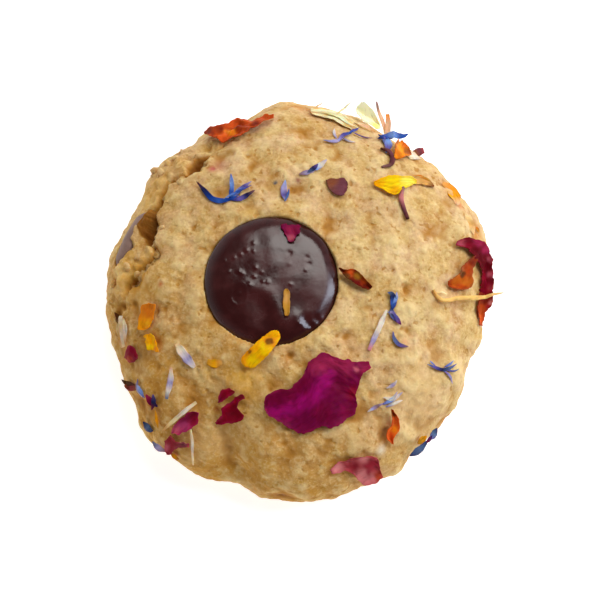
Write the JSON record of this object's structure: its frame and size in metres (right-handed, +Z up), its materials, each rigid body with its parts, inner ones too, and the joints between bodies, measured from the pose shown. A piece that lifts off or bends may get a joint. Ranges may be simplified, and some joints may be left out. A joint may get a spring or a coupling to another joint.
{
  "type": "flower cookie",
  "caption": "Thick round biscuit with a domed, cracked top, a chocolate button pressed into it and dried flower petals scattered over it.",
  "frame": {"origin": "middle of the flat base", "axes": "+Z up through the dome, +Y to the far side as the picture shows it, +X to its right"},
  "size_m": [0.0775, 0.0801, 0.0243],
  "materials": {
    "dough": "baked golden dough, crumbly and matt",
    "dark_chocolate": "dark chocolate, softly glossy",
    "milk_chocolate": "chocolate with a dull bloom",
    "rose_petal": "dried rose petal, satin",
    "crimson_petal": "dried rose petal, dark and satin",
    "mauve_petal": "dried rose petal, pale and matt",
    "orange_petal": "dried petal, matt",
    "rust_petal": "dried petal, dark and matt",
    "yellow_petal": "dried marigold petal, matt",
    "straw_petal": "dried pale petal and thread, matt",
    "cornflower": "dried cornflower floret, matt"
  },
  "bodies": {
    "root": {"dough": "dough", "chocolate_button": "dark_chocolate", "chocolate_chunk": "milk_chocolate", "rose_petal_large": "rose_petal", "rose_flake": "rose_petal", "magenta_petal": "rose_petal", "rose_petal_mauve": "mauve_petal", "rose_petal_burgundy": "crimson_petal", "crimson_petal_upper": "crimson_petal", "crimson_petal_lower": "crimson_petal", "crimson_petal_left": "crimson_petal", "crimson_petal_side": "crimson_petal", "rust_petal_right": "rust_petal", "rust_petal_middle": "rust_petal", "brown_flake": "rust_petal", "orange_petal_right": "orange_petal", "orange_petal_back": "orange_petal", "orange_petal_front": "orange_petal", "orange_petal_far": "orange_petal", "orange_petal_left_upper": "orange_petal", "orange_petal_left_lower": "yellow_petal", "yellow_petal_back": "yellow_petal", "yellow_petal_front": "yellow_petal", "pale_petal": "straw_petal", "straw_petal": "straw_petal", "yellow_sliver": "straw_petal", "pale_thread": "straw_petal"}
  },
  "joints": []
}
